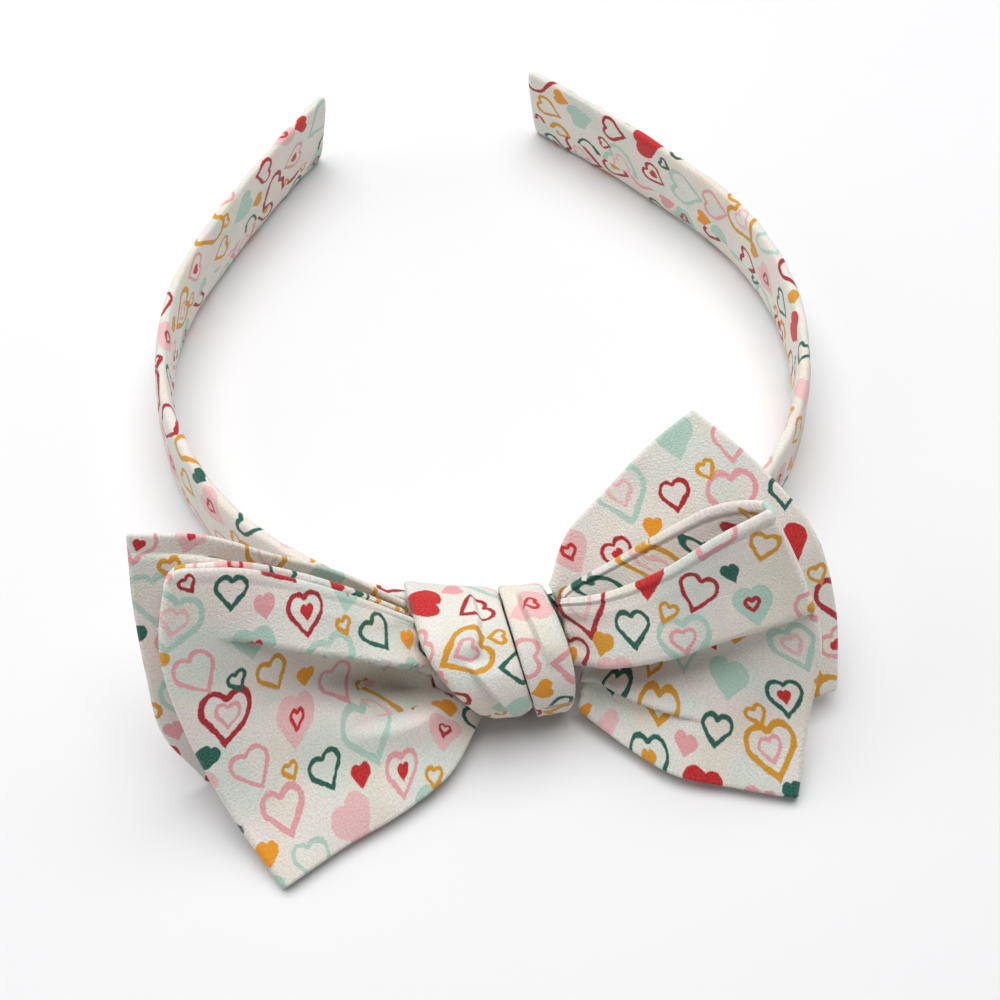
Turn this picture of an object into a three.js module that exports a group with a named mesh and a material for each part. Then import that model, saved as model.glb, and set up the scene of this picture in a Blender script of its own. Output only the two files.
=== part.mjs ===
// A cloth-covered alice band with a tied bow, lying on its lower edge.
// Millimetres, +Z up. X runs across the band, Y from the crown towards the two tips.
import * as THREE from 'three';
import * as BufferGeometryUtils from 'three/addons/utils/BufferGeometryUtils.js';

// Covered band
const BAND_THICKNESS = 3.1;
const BAND_WIDTH_AT_CROWN = 13.5;
const BAND_WIDTH_AT_TIP = 20;
const BAND_CORNER_POWER = 3.2;
const BAND_CORNERS = 16;
const BAND_STEPS_PER_SIDE = 25;
const TIP_RADIUS = 1.6;
const TIP_SHRINK = 0.55;
const LEAN_AT_CROWN = THREE.MathUtils.degToRad(3);
const LEAN_AT_TIP = THREE.MathUtils.degToRad(-10);
const CROWN_RADIUS = 65.5;
const SIDE_RADIUS = 62.8;
const ARM_RADIUS = 294;
// Half of the band's plan: arcs that run tangent into each other, from the crown to a tip.
const PLAN_ARCS = [
  { radius: CROWN_RADIUS, sweep: THREE.MathUtils.degToRad(17) },
  { radius: SIDE_RADIUS, sweep: THREE.MathUtils.degToRad(105.9) },
  { radius: ARM_RADIUS, sweep: THREE.MathUtils.degToRad(9.4) },
];

// Cloth of the bow: a doubled crepe strip
const STRIP_WIDTH = 57;
const CLOTH_WALL = 1;
const GAP = 0.3;
const TURN_RADIUS = 0.75;
const LOOP_STEPS = 32;
const TAIL_STEPS = 12;
const ACROSS_STEPS = 22;

// Knot: two wraps of cloth side by side round the crown, as big as the strip gathered in them.
// Its places in y are measured from the band's middle at the crown.
const KNOT_CLOTH_UNDER_BAND = 1.6;
const KNOT_BACK = 0.082 * STRIP_WIDTH;
const KNOT_FRONT = -0.325 * STRIP_WIDTH;
const KNOT_TOP = 0.347 * STRIP_WIDTH;
const BULGE_BACK = 0.028 * STRIP_WIDTH;
const TUNNEL_CORNER = 0.9;
const WRAP_CORNERS = 28;
const WRAP_STEPS = 6;
const WRAP_EDGE_RADIUS = 1.5;
const WRAP_DEEPEST_DIP = 0.4;
const WRAP_DIP_POWER = 4;
// Where each side of a wrap crosses the knot's top back, its middle and its front foot, in x as
// shares of the strip width.
const KNOT_WRAPS = [
  { name: 'knot_left_wrap', left: [-0.421, -0.358, -0.151], right: [-0.144, -0.121, -0.061] },
  { name: 'knot_right_wrap', left: [-0.137, -0.114, -0.054], right: [-0.021, 0.039, 0.023] },
];

// Edges of the bow's sheets as shares of the strip width from the band's middle at the crown, each
// point as [x, y, z].
// top and foot run outward from the knot, root and turn run down from top to foot.
const SHEETS = {
  left_loop: {
    top: [[-0.569, -0.028, 0.444], [-0.728, -0.025, 0.570], [-0.903, -0.020, 0.671]],
    foot: [[-0.368, -0.429, 0.052], [-0.537, -0.535, 0.044], [-0.724, -0.614, 0.038]],
    root: [[-0.421, -0.036, 0.307], [-0.397, -0.101, 0.239], [-0.362, -0.166, 0.176],
      [-0.314, -0.222, 0.121], [-0.249, -0.265, 0.070]],
    turn: [[-1.100, -0.014, 0.711], [-1.156, -0.161, 0.502], [-1.117, -0.323, 0.299],
      [-1.029, -0.495, 0.128], [-0.906, -0.708, 0.034]],
  },
  right_loop: {
    top: [[0.176, -0.130, 0.426], [0.320, -0.161, 0.545], [0.464, -0.161, 0.666]],
    foot: [[0.174, -0.436, 0.052], [0.309, -0.558, 0.044], [0.476, -0.627, 0.038]],
    root: [[0.031, -0.065, 0.325], [0.051, -0.128, 0.264], [0.063, -0.190, 0.199],
      [0.064, -0.247, 0.130], [0.058, -0.299, 0.070]],
    turn: [[0.625, -0.148, 0.763], [0.712, -0.263, 0.571], [0.765, -0.379, 0.369],
      [0.716, -0.512, 0.171], [0.648, -0.692, 0.034]],
  },
  left_tail: {
    top: [[-0.619, 0.066, 0.462], [-0.799, 0.070, 0.594], [-0.987, 0.086, 0.712]],
    foot: [[-0.532, -0.184, 0.063], [-0.711, -0.306, 0.045], [-0.903, -0.366, 0.032]],
    root: [[-0.433, 0.027, 0.314], [-0.423, 0.015, 0.261], [-0.407, -0.008, 0.202],
      [-0.384, -0.033, 0.144], [-0.354, -0.064, 0.088]],
    turn: [[-1.205, 0.098, 0.754], [-1.222, -0.014, 0.569], [-1.221, -0.132, 0.387],
      [-1.207, -0.231, 0.192], [-1.113, -0.311, 0.024]],
  },
  right_tail: {
    top: [[0.098, 0.114, 0.418], [0.237, 0.191, 0.513], [0.373, 0.258, 0.610]],
    foot: [[0.254, -0.241, 0.070], [0.436, -0.369, 0.070], [0.647, -0.397, 0.070]],
    root: [[0.021, 0.004, 0.316], [0.040, -0.043, 0.265], [0.051, -0.047, 0.205],
      [0.060, -0.052, 0.137], [0.065, -0.077, 0.070]],
    turn: [[0.528, 0.325, 0.675], [0.698, 0.145, 0.589], [0.838, -0.026, 0.450],
      [0.890, -0.186, 0.249], [0.870, -0.369, 0.070]],
  },
};

// How far a loop's back layer stands off its front layer, up its own plane and at its mouth, as
// shares of the strip width.
const LOOPS = [
  { name: 'left_loop', outward: 1, rise: 0.021, mouth: [0, 0.016, 0.007] },
  { name: 'right_loop', outward: -1, rise: 0.011, mouth: [0.035, 0.137, 0.004] },
];
const MOUTH_ROUNDNESS = 0.7;
const MOUTH_DECAY = 1.5;
const RISE_DECAY = 8;
const TAILS = ['left_tail', 'right_tail'];

// Knife pleats pressed into the front layers, as shares of the strip width. fold is the fold line's
// place at the knot and at its far end, reach how far it runs, lift its height, spread its half width.
const PLEATS = {
  left_loop: [
    { fold: [0.46, 0.22], reach: 0.85, lift: 0.051, spread: 0.1 },
    { fold: [0.7, 0.62], reach: 0.45, lift: 0.018, spread: 0.07 },
  ],
  right_loop: [
    { fold: [0.52, 0.33], reach: 1, lift: 0.051, spread: 0.1 },
    { fold: [0.73, 0.72], reach: 0.55, lift: 0.019, spread: 0.08 },
  ],
};

// Share of a pleat's height where it leaves the knot, and how far out it reaches its full height.
const PLEAT_AT_KNOT = 0.5;
const PLEAT_GROWTH = 0.2;

// Small share over which a direction square to or along a sheet is measured.
const SMALL_STEP = 1e-3;
const MERGE_WITHIN = 1e-5;

const COLOURS = { cloth: 0xece8de };

function clothMaterial() {
  return new THREE.MeshStandardMaterial({ color: COLOURS.cloth, roughness: 0.9, metalness: 0 });
}

function mix(a, b, share) {
  return a + (b - a) * share;
}

// Turns a closed surface, given as points and triangles, into a mesh with its faces outward.
function closedMesh(name, points, triangles) {
  let volume = 0;
  for (const [a, b, c] of triangles) {
    volume += points[a].dot(new THREE.Vector3().crossVectors(points[b], points[c]));
  }
  const index = triangles.flatMap(([a, b, c]) => (volume > 0 ? [a, b, c] : [a, c, b]));
  const geometry = new THREE.BufferGeometry();
  const places = points.flatMap((point) => point.toArray());
  geometry.setAttribute('position', new THREE.Float32BufferAttribute(places, 3));
  geometry.setIndex(index);
  const merged = BufferGeometryUtils.mergeVertices(geometry, MERGE_WITHIN);
  merged.computeVertexNormals();
  const mesh = new THREE.Mesh(merged, clothMaterial());
  mesh.name = name;
  return mesh;
}

// Joins rings of equal length into a tube. Closed tubes meet themselves, open ones get end faces
// made by the given function, which lists triangles of ring corners.
function joinRings(name, rings, endFace) {
  const points = rings.flat();
  const corners = rings[0].length;
  const triangles = [];
  const spans = endFace ? rings.length - 1 : rings.length;
  for (let i = 0; i < spans; i += 1) {
    const here = i * corners;
    const next = ((i + 1) % rings.length) * corners;
    for (let j = 0; j < corners; j += 1) {
      const k = (j + 1) % corners;
      triangles.push([here + j, next + j, next + k], [here + j, next + k, here + k]);
    }
  }
  if (endFace) {
    const last = (rings.length - 1) * corners;
    for (const [a, b, c] of endFace(corners)) {
      triangles.push([a, b, c], [last + a, last + c, last + b]);
    }
  }
  return closedMesh(name, points, triangles);
}

// End face of a ring that folds back on itself, corner j facing corner (corners - 1 - j).
function stripFace(corners) {
  const triangles = [];
  for (let j = 0; j < corners / 2 - 1; j += 1) {
    const far = corners - 1 - j;
    triangles.push([j, j + 1, far], [j + 1, far - 1, far]);
  }
  return triangles;
}

// Point and outward direction of the band's centre line at a signed distance from the crown.
function planAt(distance) {
  const side = Math.sign(distance) || 1;
  let left = Math.abs(distance);
  let heading = 0;
  const centre = new THREE.Vector2(0, 0);
  PLAN_ARCS.forEach(({ radius, sweep }, arc) => {
    const isLast = arc === PLAN_ARCS.length - 1;
    const turn = isLast ? left / radius : Math.min(left / radius, sweep);
    centre.x += radius * (Math.sin(heading + turn) - Math.sin(heading));
    centre.y -= radius * (Math.cos(heading + turn) - Math.cos(heading));
    heading += turn;
    left -= radius * turn;
  });
  const outward = new THREE.Vector2(side * Math.sin(heading), -Math.cos(heading));
  return { centre: new THREE.Vector2(side * centre.x, centre.y), outward };
}

const HALF_BAND = PLAN_ARCS.reduce((sum, { radius, sweep }) => sum + radius * sweep, 0);
const TIP_Y = planAt(HALF_BAND).centre.y;
const CROWN_LIFT = KNOT_CLOTH_UNDER_BAND + GAP;

// A point given by its place along the band, out from its middle and up from its middle.
function onBand(distance, out, up) {
  const { centre, outward } = planAt(distance);
  const along = Math.abs(distance) / HALF_BAND;
  const halfWidth = mix(BAND_WIDTH_AT_CROWN, BAND_WIDTH_AT_TIP, along) / 2;
  const offset = out + Math.tan(mix(LEAN_AT_CROWN, LEAN_AT_TIP, along)) * up;
  const foot = CROWN_LIFT * (1 - centre.y / TIP_Y);
  const y = centre.y + outward.y * offset;
  return { point: new THREE.Vector3(centre.x + outward.x * offset, y, foot + halfWidth + up), halfWidth };
}

// The band's rounded section at one place, its corners counted from the outer face upward.
function bandRing(distance, shrink) {
  const power = 2 / BAND_CORNER_POWER;
  const flat = Math.cos(Math.PI / BAND_CORNERS) ** power;
  const { halfWidth } = onBand(distance, 0, 0);
  const halfHeight = halfWidth - (1 - shrink) * TIP_RADIUS;
  const halfDepth = shrink * BAND_THICKNESS / 2;
  return [...Array(BAND_CORNERS).keys()].map((corner) => {
    const angle = (corner + 0.5) * 2 * Math.PI / BAND_CORNERS;
    const out = Math.sign(Math.cos(angle)) * Math.abs(Math.cos(angle)) ** power / flat;
    const up = Math.sign(Math.sin(angle)) * Math.abs(Math.sin(angle)) ** power / flat;
    return onBand(distance, out * halfDepth, up * halfHeight).point;
  });
}

function coveredBand() {
  const rings = [];
  const last = 2 * BAND_STEPS_PER_SIDE;
  const steps = [...Array(last + 1).keys()].map((i) => HALF_BAND * (i / BAND_STEPS_PER_SIDE - 1));
  steps.splice(1, 0, steps[0] + TIP_RADIUS);
  steps.splice(steps.length - 1, 0, -steps[1]);
  for (const distance of steps) {
    rings.push(bandRing(distance, Math.abs(distance) === HALF_BAND ? TIP_SHRINK : 1));
  }
  return joinRings('covered_band', rings, (corners) => {
    const fan = [];
    for (let j = 1; j < corners - 1; j += 1) {
      fan.push([0, j, j + 1]);
    }
    return fan;
  });
}

// Place of a wrap's side at a point of the knot, curving from the top back to the front foot.
function sideAt([top, middle, foot], y, z) {
  const down = ((KNOT_TOP - z) / KNOT_TOP + (KNOT_BACK - y) / (KNOT_BACK - KNOT_FRONT)) / 2;
  const bend = 2 * (top + foot - 2 * middle);
  return STRIP_WIDTH * (top + (foot - top - bend) * down + bend * down * down);
}

// Point of a rounded rectangle round the band that faces the given way, clear of the band.
function roundBand(distance, facing, clearance) {
  const { halfWidth } = onBand(distance, 0, 0);
  const radius = TUNNEL_CORNER + clearance;
  const [toOut, toUp] = [Math.cos(facing), Math.sin(facing)];
  const out = Math.sign(toOut) * (BAND_THICKNESS / 2 - TUNNEL_CORNER) + radius * toOut;
  const up = Math.sign(toUp) * (halfWidth - TUNNEL_CORNER) + radius * toUp;
  return onBand(distance, out, up).point;
}

// Outer face of the knot: the cloth hugging the band, hulled with the gathered bulge in front.
function knotFace(x, facing) {
  const toward = new THREE.Vector3(0, -Math.cos(facing), Math.sin(facing));
  const halfDepth = (BULGE_BACK - KNOT_FRONT) / 2;
  const halfHeight = KNOT_TOP / 2;
  const size = Math.hypot(halfDepth * toward.y, halfHeight * toward.z);
  const bulge = new THREE.Vector3(x, halfDepth ** 2 * toward.y / size, halfHeight ** 2 * toward.z / size);
  bulge.add(new THREE.Vector3(0, (BULGE_BACK + KNOT_FRONT) / 2, halfHeight));
  const hug = roundBand(x, facing, GAP + KNOT_CLOTH_UNDER_BAND);
  const { y, z } = hug.dot(toward) > bulge.dot(toward) ? hug : bulge;
  return new THREE.Vector3(x, y, z);
}

// A thick ring of cloth round the band: its outer face, its right side, its tunnel, its left side.
function knotWrap({ name, left, right }) {
  const columns = [];
  const middleX = STRIP_WIDTH * (left[1] + right[1]) / 2;
  for (let corner = 0; corner < WRAP_CORNERS; corner += 1) {
    const facing = (corner + 0.5) * 2 * Math.PI / WRAP_CORNERS;
    const face = knotFace(middleX, facing);
    const near = roundBand(middleX, facing, GAP);
    const faceEnds = [sideAt(left, face.y, face.z), sideAt(right, face.y, face.z)];
    const tunnelEnds = [sideAt(left, near.y, near.z), sideAt(right, near.y, near.z)];
    const outerColumn = [];
    const tunnelColumn = [];
    for (let i = 0; i <= WRAP_STEPS; i += 1) {
      const across = i / WRAP_STEPS;
      const outer = knotFace(mix(...faceEnds, across), facing);
      const inner = roundBand(mix(...tunnelEnds, across), facing, GAP);
      const wall = Math.hypot(outer.y - inner.y, outer.z - inner.z);
      const towardEdge = Math.abs(2 * across - 1) ** WRAP_DIP_POWER;
      const dip = Math.min(WRAP_DEEPEST_DIP, WRAP_EDGE_RADIUS / wall) * towardEdge;
      outer.y = mix(outer.y, inner.y, dip);
      outer.z = mix(outer.z, inner.z, dip);
      outerColumn.push(outer);
      tunnelColumn.unshift(inner);
    }
    columns.push([...outerColumn, ...tunnelColumn]);
  }
  return joinRings(name, columns, null);
}

// Smooth curve through five or more points at equal steps, at a share of its length.
function curveThrough(points, share) {
  const spans = points.length - 1;
  const at = Math.min(Math.max(share, 0), 1) * spans;
  const i = Math.min(Math.floor(at), spans - 1);
  const f = at - i;
  const pick = (k) => {
    if (k < 0) {
      return points[0].clone().multiplyScalar(2).sub(points[1]);
    }
    if (k > spans) {
      return points[spans].clone().multiplyScalar(2).sub(points[spans - 1]);
    }
    return points[k];
  };
  const [a, b, c, d] = [pick(i - 1), pick(i), pick(i + 1), pick(i + 2)];
  const bend = (p, q, r, s) => 0.5 * (2 * q + (r - p) * f + (2 * p - 5 * q + 4 * r - s) * f * f
    + (3 * q - p - 3 * r + s) * f * f * f);
  return new THREE.Vector3(bend(a.x, b.x, c.x, d.x), bend(a.y, b.y, c.y, d.y), bend(a.z, b.z, c.z, d.z));
}

// A sheet stretched between its four edges, as a function of out from the knot and down from the top.
function stretchedSheet({ top, foot, root, turn }) {
  const scaled = (points) => points.map((p) => new THREE.Vector3(...p).multiplyScalar(STRIP_WIDTH));
  const roots = scaled(root);
  const turns = scaled(turn);
  const [topRoot, footRoot] = [roots[0], roots[roots.length - 1]];
  const [topTurn, footTurn] = [turns[0], turns[turns.length - 1]];
  const tops = [topRoot, ...scaled(top), topTurn];
  const feet = [footRoot, ...scaled(foot), footTurn];
  return (out, down) => {
    const point = new THREE.Vector3();
    point.addScaledVector(curveThrough(tops, out), 1 - down);
    point.addScaledVector(curveThrough(feet, out), down);
    point.addScaledVector(curveThrough(roots, down), 1 - out);
    point.addScaledVector(curveThrough(turns, down), out);
    point.addScaledVector(topRoot, -(1 - out) * (1 - down));
    point.addScaledVector(footRoot, -(1 - out) * down);
    point.addScaledVector(topTurn, -out * (1 - down));
    point.addScaledVector(footTurn, -out * down);
    return point;
  };
}

// Unit direction square to a surface of two shares, from small steps either way.
function squareTo(surface, a, b) {
  const [a0, a1] = [Math.max(a - SMALL_STEP, 0), Math.min(a + SMALL_STEP, 1)];
  const [b0, b1] = [Math.max(b - SMALL_STEP, 0), Math.min(b + SMALL_STEP, 1)];
  const alongA = surface(a1, b).sub(surface(a0, b));
  const alongB = surface(a, b1).sub(surface(a, b0));
  return alongA.cross(alongB).normalize();
}

// Height of the pressed pleats: raised above each fold line and sunk below it.
function pleatHeight(pleats, out, down) {
  let height = 0;
  for (const { fold, reach, lift, spread } of pleats) {
    if (out < reach) {
      const place = (down - mix(...fold, out / reach)) / spread;
      const fade = (1 - (out / reach) ** 2) * mix(PLEAT_AT_KNOT, 1, Math.min(1, out / PLEAT_GROWTH));
      height -= lift * STRIP_WIDTH * fade * place * Math.exp((1 - place * place) / 2);
    }
  }
  return height;
}

// A loop's cloth from the knot out to its turn and back, as a function of two shares.
function loopSurface({ name, outward, rise, mouth }) {
  const sheet = stretchedSheet(SHEETS[name]);
  const opening = new THREE.Vector3(...mouth).multiplyScalar(STRIP_WIDTH);
  return (way, down) => {
    const share = 1 - Math.abs(2 * way - 1);
    const out = Math.sin(share * Math.PI / 2);
    const isFront = way <= 0.5;
    const bendStart = 1 - TURN_RADIUS / STRIP_WIDTH;
    const bend = Math.max(0, (out - bendStart) / (1 - bendStart));
    const standOff = TURN_RADIUS * Math.sqrt(Math.max(0, 1 - bend * bend));
    const square = squareTo(sheet, out, down).multiplyScalar(outward);
    const point = sheet(out, down);
    if (isFront) {
      const height = pleatHeight(PLEATS[name], out, down);
      return point.addScaledVector(square, height + standOff - TURN_RADIUS);
    }
    const hump = Math.sin(Math.PI * out) ** MOUTH_ROUNDNESS;
    const above = Math.max(down - SMALL_STEP, 0);
    const upward = sheet(out, above).sub(sheet(out, above + SMALL_STEP)).normalize();
    point.addScaledVector(upward, rise * STRIP_WIDTH * (1 - out ** RISE_DECAY));
    point.addScaledVector(opening, hump * (1 - down) ** MOUTH_DECAY);
    return point.addScaledVector(square, -standOff - TURN_RADIUS);
  };
}

// A closed solid of one cloth wall laid half to each side of a surface.
function clothSolid(name, surface, alongSteps) {
  const rings = [];
  for (let i = 0; i <= alongSteps; i += 1) {
    const near = [];
    const far = [];
    for (let j = 0; j <= ACROSS_STEPS; j += 1) {
      const [way, down] = [i / alongSteps, j / ACROSS_STEPS];
      const middle = surface(way, down);
      const square = squareTo(surface, way, down);
      near.push(middle.clone().addScaledVector(square, CLOTH_WALL / 2));
      far.unshift(middle.clone().addScaledVector(square, -CLOTH_WALL / 2));
    }
    rings.push([...near, ...far]);
  }
  return joinRings(name, rings, stripFace);
}

const bowBand = new THREE.Group();
bowBand.add(coveredBand());
for (const wrap of KNOT_WRAPS) {
  bowBand.add(knotWrap(wrap));
}
for (const loop of LOOPS) {
  bowBand.add(clothSolid(loop.name, loopSurface(loop), LOOP_STEPS));
}
for (const name of TAILS) {
  bowBand.add(clothSolid(name, stretchedSheet(SHEETS[name]), TAIL_STEPS));
}

// The origin goes to the middle of the footprint, on the surface the object lies on.
const box = new THREE.Box3().setFromObject(bowBand, true);
const middle = box.getCenter(new THREE.Vector3());
bowBand.position.set(-middle.x, -middle.y, -box.min.z);
bowBand.updateMatrixWorld(true);

export default bowBand;
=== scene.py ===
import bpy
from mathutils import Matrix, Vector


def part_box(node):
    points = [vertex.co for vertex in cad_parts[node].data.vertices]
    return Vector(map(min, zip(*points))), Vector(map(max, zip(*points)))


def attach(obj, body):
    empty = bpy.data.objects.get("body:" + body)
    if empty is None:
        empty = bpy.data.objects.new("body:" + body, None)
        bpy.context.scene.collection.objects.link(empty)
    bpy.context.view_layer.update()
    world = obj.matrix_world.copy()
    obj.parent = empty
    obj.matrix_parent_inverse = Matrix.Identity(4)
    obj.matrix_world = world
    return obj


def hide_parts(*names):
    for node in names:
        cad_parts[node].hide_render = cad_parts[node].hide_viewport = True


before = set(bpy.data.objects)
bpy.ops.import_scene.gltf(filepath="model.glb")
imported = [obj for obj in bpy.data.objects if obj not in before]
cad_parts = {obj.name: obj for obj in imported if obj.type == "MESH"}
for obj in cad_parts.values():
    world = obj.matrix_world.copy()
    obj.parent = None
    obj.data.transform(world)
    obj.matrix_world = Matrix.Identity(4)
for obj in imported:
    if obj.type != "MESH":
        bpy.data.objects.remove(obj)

"""A slim cloth-covered alice band with a knotted bow in a scatter-print crepe, lying on a table.

Shapes are worked out with numpy in millimetres in the band's own plan, where X runs across the band,
Y from the crown to the tips and Z up, and are then shifted to the frame's origin, in metres.
"""

import logging
from dataclasses import dataclass, field
from enum import Enum

import bpy
import numpy as np
from mathutils import Vector

LOG = logging.getLogger("bow_band")
MILLIMETRE = 0.001
STRIP_WIDTH = 57.0
PRINT_UV = "cloth"
Array = np.ndarray
Socket = bpy.types.NodeSocket
Colour = tuple[float, float, float]


class Side(Enum):
    """Which way a sheet's outer face looks, as the sign of its square direction."""

    LEFT = 1.0
    RIGHT = -1.0


# ---------------------------------------------------------------- numbers and curves


def smooth(low: float, high: float, value: Array) -> Array:
    """Smooth step, 3t^2 - 2t^3 of the share t of the way from low to high.

    Args:
        low: Value where the step starts.
        high: Value where the step ends.
        value: Values to map.

    Returns:
        Values from 0 to 1.
    """
    share = np.clip((value - low) / (high - low), 0.0, 1.0)
    return share * share * (3.0 - 2.0 * share)


def ripple(a: Array, b: Array, seed: int, waves: int = 7) -> Array:
    """Soft irregular relief: a sum of plane waves sin(p a + q b + r) with seeded p, q and r.

    Args:
        a: First coordinate, about 0 to 1.
        b: Second coordinate, about 0 to 1.
        seed: Seed of the waves.
        waves: How many waves are summed.

    Returns:
        Heights of about -1 to 1.
    """
    dice = np.random.default_rng(seed)
    total = np.zeros(np.broadcast(a, b).shape)
    for _ in range(waves):
        p, q = dice.normal(0.0, 7.0, 2)
        total = total + np.sin(p * a + q * b + dice.uniform(0.0, 2 * np.pi))
    return total / np.sqrt(waves)


def curve_through(points: Array, share: Array) -> Array:
    """Catmull-Rom curve through points at equal steps, with its end steps repeated.

    Args:
        points: Points, as rows of x, y and z.
        share: Shares of the way along, 0 to 1.

    Returns:
        Points, with a last axis of 3.
    """
    spans = len(points) - 1
    padded = np.vstack([2 * points[0] - points[1], points, 2 * points[-1] - points[-2]])
    at = np.clip(share, 0.0, 1.0) * spans
    first = np.minimum(at.astype(int), spans - 1)
    f = (at - first)[..., None]
    a, b, c, d = (padded[first + k] for k in range(4))
    return 0.5 * (
        2 * b + (c - a) * f + (2 * a - 5 * b + 4 * c - d) * f**2 + (3 * b - a - 3 * c + d) * f**3
    )


def unit(vectors: Array) -> Array:
    """Vectors along the last axis scaled to length 1."""
    return vectors / np.maximum(np.linalg.norm(vectors, axis=-1, keepdims=True), 1e-12)


def square_to(grid: Array) -> Array:
    """Unit directions square to a grid surface, the cross product of its two gradients.

    Args:
        grid: Points on an n by m grid.

    Returns:
        Directions on the same grid.
    """
    return unit(np.cross(np.gradient(grid, axis=0), np.gradient(grid, axis=1)))


# ---------------------------------------------------------------- meshes


def ring_mesh(name: str, rings: Array, prints: Array, capped: bool) -> bpy.types.Object:
    """Joins rings of points into a closed skin and gives it the print's coordinates.

    Ring i, corner j is a grid point; quads join neighbours, corners wrap round, and rings either wrap
    round too or end in faces that pair corner j with corner n - 1 - j.

    Args:
        name: Object name.
        rings: Points in millimetres, rings by corners by 3.
        prints: Cloth coordinates in millimetres, rings by corners + 1 by 2, the last for the wrap.
        capped: Whether the ends are closed instead of joined to each other.

    Returns:
        The object, with its faces outward.
    """
    count, corners = rings.shape[:2]
    spans = count - 1 if capped else count
    i, j = (g.ravel() for g in np.meshgrid(np.arange(spans), np.arange(corners), indexing="ij"))
    i2, j2 = (i + 1) % count, (j + 1) % corners
    quads = np.stack([i * corners + j, i2 * corners + j, i2 * corners + j2, i * corners + j2], -1)
    stops = np.stack([i, i + 1, i + 1, i], -1), np.stack([j, j, j + 1, j + 1], -1)
    wrapped = prints if capped else np.concatenate([prints, prints[:1]])
    uv = wrapped[stops[0], stops[1]]
    if capped:
        k = np.arange(corners // 2 - 1)
        face = np.stack([k, k + 1, corners - 2 - k, corners - 1 - k], -1)
        last = (count - 1) * corners + face[:, ::-1]
        quads = np.concatenate([quads, face, last])
        uv = np.concatenate([uv, prints[0][face], prints[-1][face[:, ::-1]]])
    points = rings.reshape(-1, 3)
    a, b, c, d = (points[quads[:, n]] for n in range(4))
    volume = np.einsum("ij,ij->", a, np.cross(b, c)) + np.einsum("ij,ij->", a, np.cross(c, d))
    if volume < 0:
        quads, uv = quads[:, ::-1], uv[:, ::-1]
    mesh = bpy.data.meshes.new(name)
    placed = (points + FRAME_SHIFT) * MILLIMETRE
    mesh.from_pydata(placed.tolist(), [], quads.tolist())
    layer = mesh.uv_layers.new(name=PRINT_UV)
    layer.data.foreach_set("uv", (uv.reshape(-1, 2) * MILLIMETRE).astype(np.float32).ravel())
    mesh.polygons.foreach_set("use_smooth", np.ones(len(quads), bool))
    mesh.update()
    obj = bpy.data.objects.new(name, mesh)
    bpy.context.scene.collection.objects.link(obj)
    return obj


def wall_rings(middle: Array, thick: Array, prints: Array) -> tuple[Array, Array]:
    """Thickens a surface into rings that go down its near face and back up its far face.

    Near and far faces lie half the thickness to each side, square to the surface; the two long rims
    are half circles of the same thickness.

    Args:
        middle: Middle surface, n by m by 3, in millimetres.
        thick: Thickness at each point, n by m.
        prints: Cloth coordinates, n by m by 2.

    Returns:
        Rings of points, and their cloth coordinates with the wrap corner added.
    """
    square = square_to(middle)
    half = thick[..., None] / 2
    near, far = middle + square * half, middle - square * half

    def rim(edge: int, inner: int, start: float) -> Array:
        """Half circle of three corners round one long rim.

        Args:
            edge: Column of the rim.
            inner: Column beside it.
            start: Turn at which the half circle starts, in degrees.

        Returns:
            Points, n by 3 by 3.
        """
        away = unit(middle[:, edge] - middle[:, inner])
        turns = np.radians(np.array([45.0, 90.0, 135.0]) + start)[None, :, None]
        arc = np.cos(turns) * square[:, edge, None] + np.abs(np.sin(turns)) * away[:, None]
        return middle[:, edge, None] + half[:, edge, None] * arc

    foot = rim(-1, -2, 0.0)
    top = rim(0, 1, 180.0)
    rings = np.concatenate([near, foot, far[:, ::-1], top], axis=1)
    low, high = prints[:, -1:], prints[:, :1]
    turned = [prints, low, low, low, prints[:, ::-1], high, high, high, high]
    return rings, np.concatenate(turned, axis=1)


# ---------------------------------------------------------------- the bow's sheets


@dataclass(frozen=True)
class SheetEdges:
    """Edges of a sheet as shares of the strip width, each point as x, y and z.

    top and foot run outward from the knot, root and turn run down from top to foot.
    """

    top: list[list[float]]
    foot: list[list[float]]
    root: list[list[float]]
    turn: list[list[float]]

    def at(self, out: Array, down: Array) -> Array:
        """Sheet stretched between its four edges: the sum of both ruled surfaces less the corners' one.

        Args:
            out: Share of the way out from the knot.
            down: Share of the way down from the top edge.

        Returns:
            Points in millimetres.
        """
        root, turn = (np.array(edge) * STRIP_WIDTH for edge in (self.root, self.turn))
        top = np.vstack([root[:1], np.array(self.top) * STRIP_WIDTH, turn[:1]])
        foot = np.vstack([root[-1:], np.array(self.foot) * STRIP_WIDTH, turn[-1:]])
        o, d = out[..., None], down[..., None]
        ruled = (1 - d) * curve_through(top, out) + d * curve_through(foot, out)
        across = (1 - o) * curve_through(root, down) + o * curve_through(turn, down)
        corners = (1 - o) * ((1 - d) * root[0] + d * root[-1]) + o * ((1 - d) * turn[0] + d * turn[-1])
        return ruled + across - corners

    def cloth(self, points: Array, hidden: Array) -> Array:
        """Cloth coordinates: places along the sheet's own outward and down axes, less what pleats hide.

        Args:
            points: Points of the sheet in millimetres.
            hidden: Cloth hidden in pleats above each point, in millimetres.

        Returns:
            Outward and upward distances in millimetres.
        """
        root, turn = (np.array(edge) * STRIP_WIDTH for edge in (self.root, self.turn))
        outward = unit(turn.mean(0) - root.mean(0))
        down = turn[-1] - turn[0]
        down = unit(down - outward * (down @ outward))
        away = points - root.mean(0)
        return np.stack([away @ outward, -away @ down - hidden], -1)


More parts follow.
